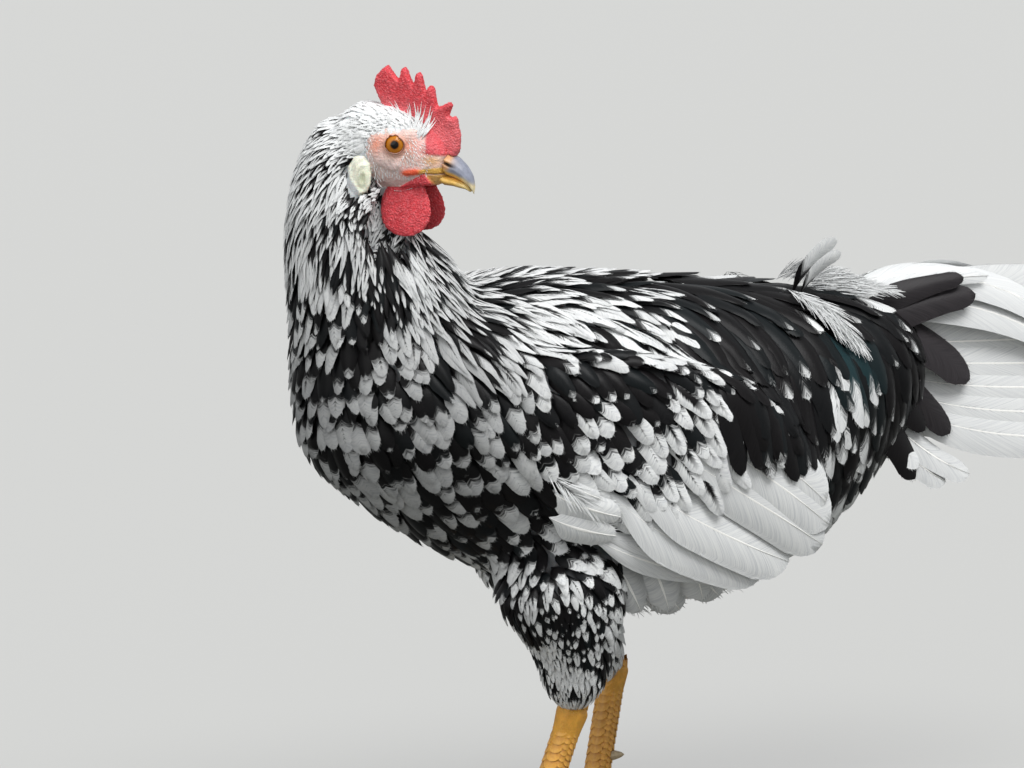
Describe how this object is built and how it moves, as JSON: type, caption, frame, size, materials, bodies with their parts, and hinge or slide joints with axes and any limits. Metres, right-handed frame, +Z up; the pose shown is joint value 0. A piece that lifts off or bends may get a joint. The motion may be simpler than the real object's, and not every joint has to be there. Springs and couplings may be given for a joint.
{
  "type": "chicken",
  "caption": "Life-size standing chicken, a young mottled cockerel with a single comb, head turned back over its left shoulder, one foot a step ahead, as a still museum-style model.",
  "frame": {"origin": "on the floor, under the middle of the bird's bounding box", "axes": "+Z up, -Y the way the body faces, +X the bird's left side; the tail reaches towards +Y"},
  "size_m": [0.176, 0.4992, 0.4186],
  "materials": {
    "mottled_plumage": "feather keratin, black with white tips, faint green gloss",
    "white_plumage": "feather keratin, cream white, satin",
    "face_skin": "bare pink skin, fine wrinkles, matte",
    "comb_skin": "bare red skin, finely beaded, matte",
    "lobe_skin": "smooth pale skin, satin",
    "leg_scale": "yellow horny scutes, satin",
    "horn": "bill and claw horn, satin",
    "eye": "wet cornea over an orange-brown iris"
  },
  "bodies": {
    "root": {"trunk": "mottled_plumage", "neck_lower": "mottled_plumage", "neck_upper": "mottled_plumage", "head": "face_skin", "bill_upper": "horn", "bill_lower": "horn", "comb": "comb_skin", "eye_left": "eye", "ear_lobe_left": "lobe_skin", "wattle_left": "comb_skin", "wing_left": "white_plumage", "thigh_left": "mottled_plumage", "shank_left": "leg_scale", "spur_left": "horn", "tail_fan_left": "white_plumage", "sickle_left": "white_plumage", "toe_left_inner": "leg_scale", "claw_left_inner": "horn", "toe_left_middle": "leg_scale", "claw_left_middle": "horn", "toe_left_outer": "leg_scale", "claw_left_outer": "horn", "toe_left_hind": "leg_scale", "claw_left_hind": "horn", "eye_right": "eye", "ear_lobe_right": "lobe_skin", "wattle_right": "comb_skin", "wing_right": "white_plumage", "thigh_right": "mottled_plumage", "shank_right": "leg_scale", "spur_right": "horn", "tail_fan_right": "white_plumage", "sickle_right": "white_plumage", "toe_right_inner": "leg_scale", "claw_right_inner": "horn", "toe_right_middle": "leg_scale", "claw_right_middle": "horn", "toe_right_outer": "leg_scale", "claw_right_outer": "horn", "toe_right_hind": "leg_scale", "claw_right_hind": "horn"}
  },
  "joints": []
}
